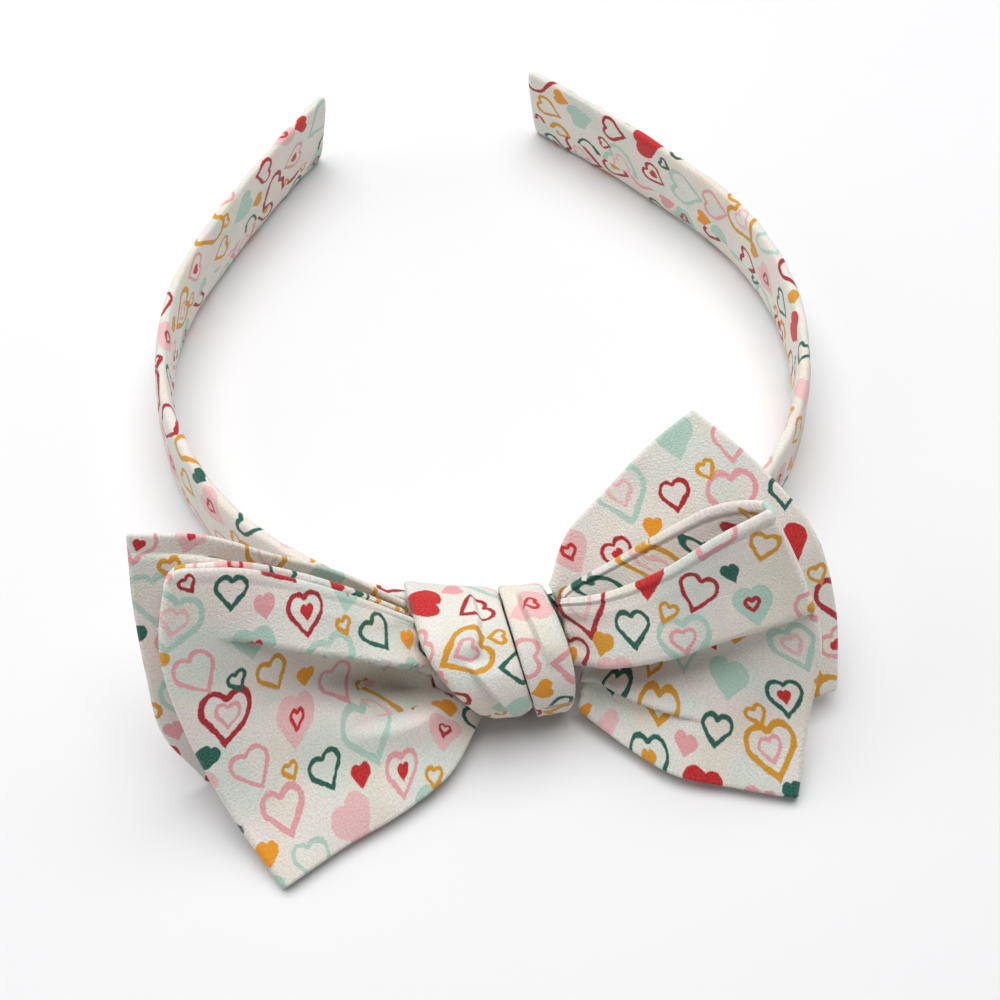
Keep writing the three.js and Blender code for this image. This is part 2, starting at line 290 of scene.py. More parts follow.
@dataclass(frozen=True)
class KnifePleat:
    """A pleat pressed into a sheet: its fold line, how far it runs and how deep it is laid."""

    at_knot: float
    far: float
    settle: float
    reach: float
    lift: float
    overlap: float
    width: float
    upturn: float = 0.0
    ease_above: float = 9.0
    ease_below: float = 5.0
    lift_below: float = 0.55
    lift_at_knot: float = 0.45
    taken_up: float = 0.8

    def fold(self, out: Array) -> Array:
        """Fold line's place across the strip, easing from at_knot to far as exp(-out / settle)."""
        return self.far + (self.at_knot - self.far) * np.exp(-out / self.settle) + self.upturn * out**2

    def shape(self, out: Array, down: Array) -> tuple[Array, Array, Array]:
        """S-shaped fold: the cloth runs over the lip, back beneath it, and on.

        With x the distance past the fold in widths, the swing is x exp((1 - x^2) / 2) up to the lip and
        eases off as exp(-(|x| - 1) / ease) on both sides. It moves the cloth down and lifts it.

        Args:
            out: Share of the way out from the knot.
            down: Share of the way down across the cloth.

        Returns:
            Extra share down, extra height and cloth hidden in the fold, both in millimetres.
        """
        grown = self.lift_at_knot + (1 - self.lift_at_knot) * smooth(0.0, 0.2, out)
        fade = np.clip(1 - (out / self.reach) ** 2, 0.0, 1.0) * grown
        x = (down - self.fold(out)) * STRIP_WIDTH / self.width
        inner = x * np.exp((1 - x * x) / 2)
        ease = np.where(x < 0, self.ease_above, self.ease_below)
        outer = np.sign(x) * np.exp(-(np.abs(x) - 1) / ease)
        swing = -np.where(np.abs(x) < 1, inner, outer)
        low = np.where(x > 0, self.lift_below, 1.0)
        edge = np.minimum(1.0, 12.0 * np.minimum(down, 1 - down))
        shift = swing * fade * self.overlap / 2 / STRIP_WIDTH * edge
        hidden = self.taken_up * abs(self.overlap) * fade * smooth(-1.0, 1.0, x)
        return shift, swing * fade * low * self.lift * edge, hidden


@dataclass(frozen=True)
class Hollow:
    """A trough pressed into a whole loop beneath a pleat, deepest near the knot."""

    at_knot: float
    far: float
    depth: float
    reach: float
    above: float = 0.07
    below: float = 0.12
    settle: float = 0.2

    def depth_at(self, out: Array, down: Array) -> Array:
        """Depth: a bell exp(-x^2) across the strip, with its own width to each side, fading outward.

        Args:
            out: Share of the way out from the knot.
            down: Share of the way down.

        Returns:
            Depths in millimetres.
        """
        middle = self.far + (self.at_knot - self.far) * np.exp(-out / self.settle)
        width = np.where(down < middle, self.above, self.below)
        fade = (1 - smooth(0.15 * self.reach, self.reach, out)) * (0.4 + 0.6 * smooth(0.0, 0.12, out))
        return self.depth * fade * np.exp(-(((down - middle) / width) ** 2))


@dataclass
class BowLoop:
    """A strip folded back on itself: front layer out from the knot, a soft turn, and the back layer."""

    name: str
    edges: SheetEdges
    side: Side
    rise: float
    mouth: tuple[float, float, float]
    pleats: list[KnifePleat]
    hollows: list[Hollow]
    seed: int
    wall: float = 0.95
    turn_radius: float = 0.8
    piping: float = 0.1
    rise_power: float = 8.0
    corner: float = 0.05
    slack: float = 0.35
    gather: float = 0.28
    gathers: float = 6.3
    gather_reach: float = 0.11
    hem: tuple[float, float] = (0.8, 0.7)
    stitch: tuple[float, float] = (2.0, 0.08)
    stitch_depth: float = 0.6
    along: int = 84
    across: int = 132
    print_start: tuple[float, float] = (0.0, 0.0)

    def middle(self) -> tuple[Array, Array, Array]:
        """Middle surface of the cloth on a grid of way along the strip by way across.

        The way along runs 0 to 1; its distance out from the knot is sin(pi t / 2) of t = 1 - |2 way - 1|,
        so steps close up at the turn, and the stand-off square to the sheet is a quarter circle there.

        Returns:
            Points, cloth coordinates, and the grid's shares across.
        """
        way = np.linspace(0.0, 1.0, 2 * self.along + 1)
        across = np.linspace(0.0, 1.0, self.across)
        across = 0.175 * (1 - np.cos(np.pi * across)) + 0.65 * across
        out = np.sin((1 - np.abs(2 * way - 1)) * np.pi / 2)
        out, down = np.meshgrid(out, across, indexing="ij")
        front = np.broadcast_to((way <= 0.5)[:, None], out.shape)
        shift, height, hidden = np.zeros_like(out), np.zeros_like(out), np.zeros_like(out)
        for pleat in self.pleats:
            moved, lifted, tucked = pleat.shape(out, down)
            shift, height, hidden = shift + moved, height + lifted, hidden + tucked
        round_off = self.corner - np.sqrt(self.corner**2 - np.clip(out - 1 + self.corner, 0.0, None) ** 2)
        down = down + round_off * np.clip(1 - down / 0.3, 0.0, 1.0) ** 2
        sheet = self.edges.at(out, np.where(front, down + shift, down))
        square = self.square(out, down)
        bend_start = 1 - self.turn_radius / STRIP_WIDTH
        bend = np.clip((out - bend_start) / (1 - bend_start), 0.0, 1.0)
        stand = self.turn_radius * np.sqrt(1 - bend**2)
        relief = self.relief(out, down, front)
        sunk = sum(hollow.depth_at(out, down) for hollow in self.hollows)
        away = np.where(front, height + relief + stand, -stand + relief) - self.turn_radius - sunk
        points = sheet + square * away[..., None]
        points += np.where(front, 0.0, 1.0)[..., None] * self.opening(out, down)
        cloth = self.edges.cloth(sheet, hidden)
        turn_at = cloth[self.along, None, :, 0]
        cloth[..., 0] = np.where(front, cloth[..., 0], 2 * turn_at - cloth[..., 0])
        return points, cloth + np.array(self.print_start), down

    def square(self, out: Array, down: Array) -> Array:
        """Outward directions square to the unpleated sheet, from small steps both ways.

        Args:
            out: Share of the way out.
            down: Share of the way down.

        Returns:
            Unit directions.
        """
        at, step = self.edges.at, 2e-3
        along = at(np.minimum(out + step, 1), down) - at(np.maximum(out - step, 0), down)
        over = at(out, np.minimum(down + step, 1)) - at(out, np.maximum(down - step, 0))
        return unit(np.cross(along, over)) * self.side.value

    def relief(self, out: Array, down: Array, front: Array) -> Array:
        """Slack in the cloth: seeded ripples, faded out at the turn, and fine gathers at the knot.

        Args:
            out: Share of the way out.
            down: Share of the way down.
            front: Whether a point is on the front layer.

        Returns:
            Heights in millimetres.
        """
        eased = smooth(0.0, 0.3, out) * (1 - smooth(0.8, 1.0, out))
        slack = self.slack * ripple(out * 0.8, down * 1.1, self.seed) * eased
        wander = 0.9 * ripple(out * 0.3, down * 0.4, self.seed + 1)
        gathers = np.sin(2 * np.pi * (self.gathers * down + wander))
        gathers = self.gather * gathers * np.exp(-out / self.gather_reach)
        return (slack + gathers) * np.where(front, 1.0, 0.7)

    def opening(self, out: Array, down: Array) -> Array:
        """How far the back layer stands off: up its own plane, and away at the mouth.

        The mouth's share is sin(pi out)^0.7 (1 - down)^1.5.

        Args:
            out: Share of the way out.
            down: Share of the way down.

        Returns:
            Offsets in millimetres.
        """
        low = np.maximum(down - 0.01, 0.0)
        upward = unit(self.edges.at(out, low) - self.edges.at(out, low + 0.01))
        hump = np.sin(np.pi * np.clip(out, 0.0, 1.0)).clip(0.0) ** 0.7 * (1 - down) ** 1.5
        raised = self.rise * (1 - out.clip(0.0) ** self.rise_power)
        return upward * raised[..., None] + hump[..., None] * np.array(self.mouth)

    def build(self) -> bpy.types.Object:
        """Builds the loop as one closed wall, thicker in a bell at the hem and thinner along its stitching.

        Returns:
            The object.
        """
        points, cloth, down = self.middle()
        from_edge = down * STRIP_WIDTH
        hem = np.exp(-((from_edge - self.hem[0]) ** 2) / self.hem[1])
        stitch = self.stitch_depth * np.exp(-((from_edge - self.stitch[0]) ** 2) / self.stitch[1])
        rings, prints = wall_rings(points, self.wall + self.piping * (hem - stitch), cloth)
        return ring_mesh(self.name + "_cloth", rings, prints, capped=True)


@dataclass
class BowTail:
    """A flat doubled end of the strip, pressed flat, with a soft crease or two."""

    name: str
    edges: SheetEdges
    seed: int
    pleats: list[KnifePleat] = field(default_factory=list)
    wall: float = 1.0
    slack: float = 0.3
    gather: float = 0.4
    gathers: float = 5.2
    gather_reach: float = 0.15
    soft_end: float = 0.015
    along: int = 90
    across: int = 110
    print_start: tuple[float, float] = (0.0, 0.0)

    def build(self) -> bpy.types.Object:
        """Builds the tail; its far end thins by a squared smooth step over the last half millimetre.

        Returns:
            The object.
        """
        share = np.linspace(0.0, 1.0, self.along)
        last = 1 - self.soft_end * (1 - np.linspace(0.0, 1.0, 7)) ** 2
        out = np.concatenate([share[:-1] * (1 - self.soft_end), last])
        out, down = np.meshgrid(out, np.linspace(0.0, 1.0, self.across), indexing="ij")
        lift, shift = np.zeros_like(out), np.zeros_like(out)
        for pleat in self.pleats:
            moved, lifted, _ = pleat.shape(out, down)
            shift, lift = shift + moved, lift + lifted
        points = self.edges.at(out, down + shift)
        cloth = self.edges.cloth(points, np.zeros_like(out)) + np.array(self.print_start)
        slack = lift + self.slack * ripple(out, down, self.seed) * smooth(0.0, 0.3, out)
        wander = 0.6 * ripple(out * 0.3, down * 0.4, self.seed + 1)
        gathers = self.gather * np.sin(2 * np.pi * (self.gathers * down + wander))
        height = slack + gathers * np.exp(-out / self.gather_reach)
        points = points + square_to(self.edges.at(out, down)) * height[..., None]
        ends = 1 - 0.9 * smooth(1 - self.soft_end, 1.0, out) ** 2
        rings, prints = wall_rings(points, self.wall * ends, cloth)
        return ring_mesh(self.name + "_cloth", rings, prints, capped=True)


LEFT_LOOP = SheetEdges(
    top=[[-0.569, -0.028, 0.444], [-0.728, -0.025, 0.570], [-0.903, -0.020, 0.671]],
    foot=[[-0.368, -0.429, 0.052], [-0.537, -0.535, 0.044], [-0.724, -0.614, 0.038]],
    root=[[-0.421, -0.036, 0.307], [-0.397, -0.101, 0.239], [-0.362, -0.166, 0.176],
          [-0.314, -0.222, 0.121], [-0.249, -0.265, 0.070]],
    turn=[[-1.100, -0.014, 0.711], [-1.156, -0.161, 0.502], [-1.117, -0.323, 0.299],
          [-1.029, -0.495, 0.128], [-0.906, -0.708, 0.034]],
)
RIGHT_LOOP = SheetEdges(
    top=[[0.176, -0.130, 0.426], [0.320, -0.161, 0.545], [0.464, -0.161, 0.666]],
    foot=[[0.174, -0.436, 0.052], [0.309, -0.558, 0.044], [0.476, -0.627, 0.038]],
    root=[[0.031, -0.065, 0.325], [0.051, -0.128, 0.264], [0.063, -0.190, 0.199],
          [0.064, -0.247, 0.130], [0.058, -0.299, 0.070]],
    turn=[[0.625, -0.148, 0.763], [0.712, -0.263, 0.571], [0.765, -0.379, 0.369],
          [0.716, -0.512, 0.171], [0.648, -0.692, 0.034]],
)
LEFT_TAIL = SheetEdges(
    top=[[-0.619, 0.066, 0.462], [-0.799, 0.070, 0.594], [-0.987, 0.086, 0.712]],
    foot=[[-0.532, -0.184, 0.063], [-0.711, -0.306, 0.045], [-0.903, -0.366, 0.032]],
    root=[[-0.433, 0.027, 0.314], [-0.423, 0.015, 0.261], [-0.407, -0.008, 0.202],
          [-0.384, -0.033, 0.144], [-0.354, -0.064, 0.088]],
    turn=[[-1.205, 0.098, 0.754], [-1.222, -0.014, 0.569], [-1.221, -0.132, 0.387],
          [-1.207, -0.231, 0.192], [-1.113, -0.311, 0.024]],
)
RIGHT_TAIL = SheetEdges(
    top=[[0.098, 0.114, 0.418], [0.237, 0.191, 0.513], [0.373, 0.258, 0.610]],
    foot=[[0.254, -0.241, 0.070], [0.436, -0.369, 0.070], [0.647, -0.397, 0.070]],
    root=[[0.021, 0.004, 0.316], [0.040, -0.043, 0.265], [0.051, -0.047, 0.205],
          [0.060, -0.052, 0.137], [0.065, -0.077, 0.070]],
    turn=[[0.528, 0.325, 0.675], [0.698, 0.145, 0.589], [0.838, -0.026, 0.450],
          [0.890, -0.186, 0.249], [0.870, -0.369, 0.070]],
)


# ---------------------------------------------------------------- the covered band


@dataclass
class CoveredBand:
    """The springy C of the band in its cloth cover: a rounded section carried along tangent arcs."""

    thickness: float = 3.1
    width_at_crown: float = 13.5
    width_at_tip: float = 20.0
    corner_power: float = 3.2
    lean_at_crown: float = 3.0
    lean_at_tip: float = -10.0
    crown_lift: float = 1.9
    arcs: tuple[tuple[float, float], ...] = ((65.5, 17.0), (62.8, 105.9), (294.0, 9.4))
    tip_rounding: float = 1.6
    tip_size: float = 0.45
    solid_tip_size: float = 0.55
    seam_height: float = -0.30
    seam_lap: float = 0.32
    seam_groove: float = 0.22
    edge_pull: float = 0.12
    print_join: float = 3.29
    print_start: float = 90.0
    stations: int = 560
    corners: int = 56

    @property
    def half_length(self) -> float:
        """Length of one half of the band: the sum of radius times sweep."""
        return sum(radius * np.radians(sweep) for radius, sweep in self.arcs)

    def plan(self, distance: Array) -> tuple[Array, Array]:
        """Centre line and outward direction at signed distances from the crown.

        Each arc adds R (sin(h + t) - sin h) to x and takes R (cos(h + t) - cos h) from y, h being the
        heading reached so far and t the turn made on that arc.

        Args:
            distance: Distances in millimetres.

        Returns:
            Centres and outward unit directions, in x and y.
        """
        side = np.where(distance < 0, -1.0, 1.0)
        left, heading = np.abs(distance), np.zeros_like(distance)
        x, y = np.zeros_like(distance), np.zeros_like(distance)
        for number, (radius, sweep) in enumerate(self.arcs):
            turn = left / radius
            if number < len(self.arcs) - 1:
                turn = np.minimum(turn, np.radians(sweep))
            x = x + radius * (np.sin(heading + turn) - np.sin(heading))
            y = y - radius * (np.cos(heading + turn) - np.cos(heading))
            heading, left = heading + turn, left - radius * turn
        return np.stack([side * x, y], -1), np.stack([side * np.sin(heading), -np.cos(heading)], -1)

    def place(self, distance: Array, out: Array, up: Array) -> Array:
        """Points from place along the band, out from its middle and up from its middle.

        The lean shears the section outward by tan(lean) of the height, and the lower edge drops evenly
        from the crown's lift to nothing at the tips.

        Args:
            distance: Signed distances from the crown.
            out: Distances outward.
            up: Distances upward.

        Returns:
            Points in millimetres.
        """
        centre, outward = self.plan(distance)
        along = np.abs(distance) / self.half_length
        half = self.half_width(distance)
        lean = np.radians(self.lean_at_crown + (self.lean_at_tip - self.lean_at_crown) * along)
        offset = out + np.tan(lean) * up
        tip_y = self.plan(np.array([self.half_length]))[0][0, 1]
        foot = self.crown_lift * (1 - centre[..., 1] / tip_y)
        flat = centre + outward * offset[..., None]
        return np.concatenate([flat, (foot + half + up)[..., None]], -1)

    def half_width(self, distance: Array) -> Array:
        """Half of the band's width at signed distances from the crown."""
        along = np.abs(distance) / self.half_length
        return (self.width_at_crown + (self.width_at_tip - self.width_at_crown) * along) / 2

    def tip_y(self) -> float:
        """Furthest Y that the band reaches, at the outer corners of its blunt ends.

        Returns:
            The Y in millimetres.
        """
        ends = np.full(16, self.half_length)
        angle = (np.arange(16) + 0.5) * np.pi / 8
        power = 2 / self.corner_power
        out = np.sign(np.cos(angle)) * np.abs(np.cos(angle)) ** power * self.thickness / 2
        up = np.sign(np.sin(angle)) * np.abs(np.sin(angle)) ** power * self.width_at_tip / 2
        return float(self.place(ends, out * self.solid_tip_size, up)[..., 1].max())

    def build(self) -> bpy.types.Object:
        """Builds the covered band with its wrapped cloth's slack, its lengthwise seam and blunt tips.

        The section is a superellipse |cos|^p, |sin|^p; the seam is a low step in the cloth on the inner
        face, a third of the way up, that wanders by a slow wave.

        Returns:
            The object.
        """
        end = self.tip_rounding / self.half_length
        body = np.linspace(-1.0, 1.0, self.stations) * (1 - end)
        left = -1 + end * (1 - np.cos(np.linspace(0, np.pi / 2, 9)))[:-1]
        distance = np.concatenate([left, body, -left[::-1]]) * self.half_length
        angle = self.print_join + (np.arange(self.corners) + 0.5) * 2 * np.pi / self.corners
        far, turn = np.meshgrid(distance, angle, indexing="ij")
        to_end = np.clip((self.half_length - np.abs(far)) / self.tip_rounding, 0.0, 1.0)
        shrink = self.tip_size + (1 - self.tip_size) * np.sqrt(1 - (1 - to_end) ** 2)
        power = 2 / self.corner_power
        out = np.sign(np.cos(turn)) * np.abs(np.cos(turn)) ** power
        up = np.sign(np.sin(turn)) * np.abs(np.sin(turn)) ** power
        half = self.half_width(far)
        height = up * (half - (1 - shrink) * self.tip_rounding)
        seam_at = self.seam_height + 0.05 * np.sin(far / 17.0) + 0.03 * np.sin(far / 6.3)
        is_inner = smooth(0.2, 0.6, -np.cos(turn))
        lap = smooth(seam_at + 0.05, seam_at - 0.05, up) * smooth(-1.0, -0.7, up)
        groove = np.exp(-(((up - seam_at) / 0.05) ** 2))
        seam = (self.seam_lap * lap - self.seam_groove * groove) * is_inner
        slack = 0.10 * ripple(far / 60.0, turn / 5.0, 11, 9)
        slack = slack + 0.07 * ripple(far / 22.0, turn / 3.0, 12, 9)
        pull = np.sin(far / 2.3 + 2 * np.sin(far / 9.0)) * smooth(0.75, 1.0, np.abs(up))
        grow = (seam + slack + self.edge_pull * pull) * smooth(0.0, 1.0, to_end)
        depth = out * shrink * self.thickness / 2
        points = self.place(far, depth + np.sign(out) * grow * np.abs(np.cos(turn)) ** 0.5, height)
        points[..., 2] += 0.5 * grow * up
        section = np.stack([out * self.thickness / 2, up * half], -1)
        around = np.linalg.norm(np.diff(section, axis=1, append=section[:, :1]), axis=-1).cumsum(1)
        around = np.concatenate([np.zeros_like(around[:, :1]), around], 1)
        far = np.concatenate([far, far[:, :1]], 1)
        cloth = np.stack([around * np.where(far < 0, -1.0, 1.0), np.abs(far) + self.print_start], -1)
        return ring_mesh("band_cover", points, cloth, capped=True)


# ---------------------------------------------------------------- the knot


@dataclass(frozen=True)
class Crease:
    """A laid fold across a wrap, from one facing and place across to another, in degrees and shares."""

    start: tuple[float, float]
    end: tuple[float, float]
    height: float
    width: float = 0.3

    def height_at(self, turn: Array, across: Array) -> Array:
        """Height of the cloth: it climbs slowly over the width and drops sharply at the crease.

        The climb is exp(-x / width) on the high side of the crease, the drop a smooth step of a tenth of
        the width, and both ease in and out along the crease. A width below 0 puts the high side before it.

        Args:
            turn: Facings in radians.
            across: Shares of the way across.

        Returns:
            Heights in millimetres.
        """
        facing = (np.degrees(turn) + 180) % 360 - 180
        along = (facing - self.start[0]) / (self.end[0] - self.start[0])
        place = across - self.start[1] - (self.end[1] - self.start[1]) * along
        past = place * np.sign(self.width)
        width = abs(self.width)
        climb = np.exp(-np.maximum(past, 0.0) / width) * smooth(-0.06 * width, 0.16 * width, past)
        fade = smooth(0.0, 0.25, along) * (1 - smooth(0.75, 1.0, along))
        return self.height * climb * fade


@dataclass
class KnotWrap:
    """A wrap of cloth round the band and the bow's gathered ends."""

    name: str
    left: tuple[float, float, float]
    right: tuple[float, float, float]
    band: CoveredBand
    seed: int
    creases: list[Crease] = field(default_factory=list)
    proud: float = 0.0
    tuck: tuple[float, float] = (0.0, 1.0)
    under_band: float = 1.6
    gap: float = 0.3
    back: float = 4.7
    front: float = -18.5
    top: float = 19.78
    bulge_back: float = 1.6
    tunnel_corner: float = 0.9
    off_table: float = 0.12
    slack: float = 0.28
    print_step: float = 20.0
    rounding: tuple[float, float] = (1.8, 0.8)
    around: int = 220
    across: int = 72

    def side_at(self, side: tuple[float, float, float], y: Array, z: Array) -> Array:
        """A side's x, a parabola in the share of the way from the knot's top back to its front foot.

        Args:
            side: X at the top back, the middle and the front foot.
            y: Places in y.
            z: Places in z.

        Returns:
            Places in x.
        """
        down = ((self.top - z) / self.top + (self.back - y) / (self.back - self.front)) / 2
        bend = 2 * (side[0] + side[2] - 2 * side[1])
        return side[0] + (side[2] - side[0] - bend) * down + bend * down**2

    def hug(self, x: Array, facing: Array, clearance: float) -> Array:
        """Rounded rectangle round the band, the point that faces each way.

        Args:
            x: Places along the band.
            facing: Directions faced, in radians from outward towards up.
            clearance: Distance kept from the band.

        Returns:
            Points in millimetres.
        """
        radius = self.tunnel_corner + clearance
        cos, sin = np.cos(facing), np.sin(facing)
        out = np.sign(cos) * (self.band.thickness / 2 - self.tunnel_corner) + radius * cos
        up = np.sign(sin) * (self.band.half_width(x) - self.tunnel_corner) + radius * sin
        return self.band.place(x, out, up)

    def face(self, x: Array, facing: Array) -> Array:
        """Outer face: the hull of the cloth hugging the band and an elliptic bulge in front of it.

        Args:
            x: Places in x.
            facing: Directions faced.

        Returns:
            Points in millimetres.
        """
        toward_y, toward_z = -np.cos(facing), np.sin(facing)
        deep, high = (self.bulge_back - self.front) / 2, self.top / 2
        size = np.hypot(deep * toward_y, high * toward_z)
        bulge_y = (self.bulge_back + self.front) / 2 + deep**2 * toward_y / size
        bulge_z = high + high**2 * toward_z / size
        hug = self.hug(x, facing, self.gap + self.under_band)
        nearer = hug[..., 1] * toward_y + hug[..., 2] * toward_z > bulge_y * toward_y + bulge_z * toward_z
        y, z = np.where(nearer, hug[..., 1], bulge_y), np.where(nearer, hug[..., 2], bulge_z)
        return np.stack([x, y, z], -1)

    def build(self) -> bpy.types.Object:
        """Builds the wrap: its outer face with rolled edges and laid folds, and its tunnel.

        Both long edges roll in by the rounding as 1 - sqrt(1 - x^2); the tucked edge also slopes down,
        and what would hang below the table lies flat on it.

        Returns:
            The object.
        """
        share = 0.5 - 0.5 * np.cos(np.linspace(0.0, np.pi, self.across))
        fine = np.linspace(0.0, 2 * np.pi, 1441)
        turn, across = np.meshgrid(fine, share, indexing="ij")
        x = np.full_like(turn, (self.left[1] + self.right[1]) / 2)
        for _ in range(3):
            outer = self.face(x, turn)
            low = self.side_at(self.left, outer[..., 1], outer[..., 2])
            high = self.side_at(self.right, outer[..., 1], outer[..., 2])
            x = low + (high - low) * across
        outer = self.face(x, turn)
        outer, facing = self.spread(outer, turn)
        turn, across = np.meshgrid(np.arange(self.around) / self.around * 2 * np.pi, share, indexing="ij")
        mid = np.full_like(turn, (self.left[1] + self.right[1]) / 2)
        near = self.hug(mid, turn, self.gap)
        low = self.side_at(self.left, near[..., 1], near[..., 2])
        high = self.side_at(self.right, near[..., 1], near[..., 2])
        inner = self.hug(low + (high - low) * across, turn, self.gap)
        wall = np.linalg.norm((outer - inner)[..., 1:], axis=-1)
        width = np.linalg.norm(outer[:, -1] - outer[:, 0], axis=-1)[:, None]
        dip = np.zeros_like(wall)
        for radius, to_edge in zip(self.rounding, (across * width, (1 - across) * width)):
            past = np.clip(1 - to_edge / radius, 0.0, 1.0)
            dip += np.minimum(radius, 0.4 * wall) * (1 - np.sqrt(1 - past**2))
        sloped = self.tuck[0] * np.clip(1 - (1 - across) * width / self.tuck[1], 0.0, 1.0) ** 1.5
        laid = sum(crease.height_at(facing, across) for crease in self.creases)
        slack = self.slack * ripple(facing / 6.3 * 0.8, across * 0.8, self.seed, 9)
        room = smooth(1.4, 4.0, wall)
        bump = (laid + slack + self.proud) * room - np.minimum(sloped, 0.4 * wall) - dip
        outward = unit(np.stack([np.zeros_like(facing), -np.cos(facing), np.sin(facing)], -1))
        skin = outer + outward * bump[..., None]
        skin[..., 2] = np.maximum(skin[..., 2], self.off_table)
        rings = np.concatenate([skin, inner[:, ::-1]], 1)
        steps = np.linalg.norm(np.diff(outer, axis=0), axis=-1).mean(1).cumsum()
        length = np.broadcast_to(np.concatenate([[0.0], steps])[:, None], facing.shape)
        cloth = np.stack([-length, outer[..., 0] + self.print_step * self.seed], -1)
        prints = np.concatenate([cloth, cloth[:, ::-1], cloth[:, :1]], 1)
        return ring_mesh(self.name + "_cloth", rings, prints, capped=False)

    def spread(self, outer: Array, turn: Array) -> tuple[Array, Array]:
        """Spaces a wrap's columns evenly round the hull, whose flats all face one way.

        Args:
            outer: Fine points, facings by columns by 3.
            turn: Their facings.

        Returns:
            Points and facings at the wrap's own number of stations.
        """
        walked = np.linalg.norm(np.diff(outer, axis=0), axis=-1).cumsum(0)
        walked = np.concatenate([np.zeros_like(walked[:1]), walked])
        shares = np.arange(self.around) / self.around
        columns = []
        for column in range(outer.shape[1]):
            place = np.interp(shares * walked[-1, column], walked[:, column], np.arange(len(walked)))
            first = np.minimum(place.astype(int), len(walked) - 2)
            rest = (place - first)[:, None]
            table = np.concatenate([outer[:, column], turn[:, column, None]], 1)
            columns.append(table[first] * (1 - rest) + table[first + 1] * rest)
        spread = np.stack(columns, 1)
        return spread[..., :3], spread[..., 3]


# ---------------------------------------------------------------- finishes


class Bench:
    """Short hands for wiring a node tree."""

    def __init__(self, tree: bpy.types.NodeTree) -> None:
        """Keeps the tree that nodes are added to."""
        self.tree = tree

    def add(self, kind: str, **settings: object) -> bpy.types.Node:
        """Adds a node and sets its named properties.

        Args:
            kind: Type of node.
            settings: Properties and their values.

        Returns:
            The node.
        """
        node = self.tree.nodes.new(kind)
        for key, value in settings.items():
            setattr(node, key, value)
        return node

    def link(self, value: object, socket: Socket) -> None:
        """Feeds a socket from another socket, or sets it to a number or tuple.

        Args:
            value: Socket, number or tuple.
            socket: Socket to feed.
        """
        if isinstance(value, Socket):
            self.tree.links.new(value, socket)
        else:
            socket.default_value = value

    def math(self, what: str, a: object, b: object = 0.0, c: object = 0.0) -> Socket:
        """Adds a Math node.

        Args:
            what: Operation.
            a: First value.
            b: Second value.
            c: Third value.

        Returns:
            The result's socket.
        """
        node = self.add("ShaderNodeMath", operation=what)
        for value, socket in zip((a, b, c), node.inputs):
            self.link(value, socket)
        return node.outputs[0]

    def vector(self, what: str, a: object, b: object = (0.0, 0.0, 0.0)) -> Socket:
        """Adds a Vector Math node; scaling takes its second value as a number.

        Args:
            what: Operation.
            a: First vector.
            b: Second vector or number.

        Returns:
            The result's socket.
        """
        node = self.add("ShaderNodeVectorMath", operation=what)
        self.link(a, node.inputs[0])
        self.link(b, node.inputs["Scale"] if what == "SCALE" else node.inputs[1])
        return node.outputs["Value"] if what in ("LENGTH", "DOT_PRODUCT") else node.outputs[0]

    def turned(self, where: object, angle: object) -> Socket:
        """Turns a place about the origin in its own plane.

        Args:
            where: The place.
            angle: Turn in radians.

        Returns:
            The turned place's socket.
        """
        node = self.add("ShaderNodeVectorRotate", rotation_type="Z_AXIS")
        self.link(where, node.inputs["Vector"])
        self.link(angle, node.inputs["Angle"])
        return node.outputs[0]

    def step(self, low: float, high: float, value: object) -> Socket:
        """Smooth step of a value between two bounds, 0 to 1.

        Args:
            low: Bound that gives 0.
            high: Bound that gives 1.
            value: The value.

        Returns:
            The step's socket.
        """
        node = self.add("ShaderNodeMapRange", interpolation_type="SMOOTHSTEP")
        for key, item in (("Value", value), ("From Min", low), ("From Max", high)):
            self.link(item, node.inputs[key])
        return node.outputs[0]

    def mix(self, share: object, a: object, b: object) -> Socket:
        """Blends two colours by a share.

        Args:
            share: Share of the second colour.
            a: First colour.
            b: Second colour.

        Returns:
            The blend's socket.
        """
        node = self.add("ShaderNodeMix", data_type="RGBA")
        self.link(share, node.inputs[0])
        self.link(a, node.inputs[6])
        self.link(b, node.inputs[7])
        return node.outputs[2]

    def noise(self, where: object, scale: float, detail: float = 2.0) -> bpy.types.Node:
        """Adds a two-dimensional noise at a place.

        Args:
            where: The place.
            scale: Features for each unit of length.
            detail: Number of finer layers.

        Returns:
            The noise node.
        """
        node = self.add("ShaderNodeTexNoise", noise_dimensions="2D")
        self.link(where, node.inputs["Vector"])
        node.inputs["Scale"].default_value = scale
        node.inputs["Detail"].default_value = detail
        return node

    def choose(self, share: object, colours: list[Colour]) -> Socket:
        """Picks one colour of a list by a share from 0 to 1.

        Args:
            share: The share.
            colours: Linear colours.

        Returns:
            The colour's socket.
        """
        node = self.add("ShaderNodeValToRGB")
        ramp = node.color_ramp
        ramp.interpolation = "CONSTANT"
        for number, colour in enumerate(colours):
            stop = ramp.elements[number] if number < 2 else ramp.elements.new(1.0)
            stop.position = number / len(colours)
            stop.color = (*colour, 1.0)
        self.link(share, node.inputs[0])
        return node.outputs[0]


def linear(red: int, green: int, blue: int) -> Colour:
    """Linear colour of an sRGB one, share / 12.92 when dark and else ((share + 0.055) / 1.055)^2.4.

    Args:
        red: Red, 0 to 255.
        green: Green, 0 to 255.
        blue: Blue, 0 to 255.

    Returns:
        Linear red, green and blue, 0 to 1.
    """
    share = np.array([red, green, blue]) / 255.0
    value = np.where(share <= 0.04045, share / 12.92, ((share + 0.055) / 1.055) ** 2.4)
    return float(value[0]), float(value[1]), float(value[2])


